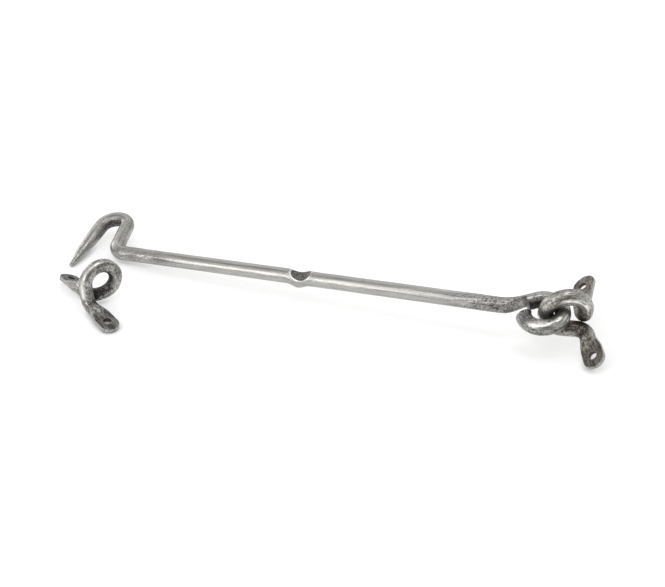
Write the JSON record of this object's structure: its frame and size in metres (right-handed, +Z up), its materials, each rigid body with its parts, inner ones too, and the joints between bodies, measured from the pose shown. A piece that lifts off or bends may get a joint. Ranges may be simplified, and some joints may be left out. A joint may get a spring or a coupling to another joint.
{
  "type": "hook and eye latch",
  "caption": "Hand-forged cabin hook: a round bar with a pointed hook and a curled eye, linked to a screw-on eye, with a loose screw-on eye that the hook drops into.",
  "frame": {"origin": "middle of the laid-out set, on the surface that it lies on", "axes": "+X along the bar from the hook to its eye, +Y to the back of the hook, +Z up"},
  "size_m": [0.2936, 0.1086, 0.0333],
  "materials": {
    "bar_pewter": "brushed pewter patina on forged steel",
    "pivot_pewter": "dark mottled pewter patina on forged steel",
    "catch_pewter": "dark mottled pewter patina on forged steel"
  },
  "bodies": {
    "hook_bar": {"hook_bar": "bar_pewter"},
    "pivot_eye": {"pivot_eye": "pivot_pewter"},
    "catch_eye": {"catch_eye": "catch_pewter"}
  },
  "joints": [
    {"name": "eye_link", "type": "hinge", "parent": "hook_bar", "child": "pivot_eye", "pos_m": [0.11299, 0.01115, 0.01808], "axis": [-0.0543, -0.2113, 0.9759], "range_deg": [-109, 71]},
    {"name": "catch_lift", "type": "slide", "parent": "hook_bar", "child": "catch_eye", "axis": [0, 0, 1], "range_m": [0, 0.06]}
  ]
}
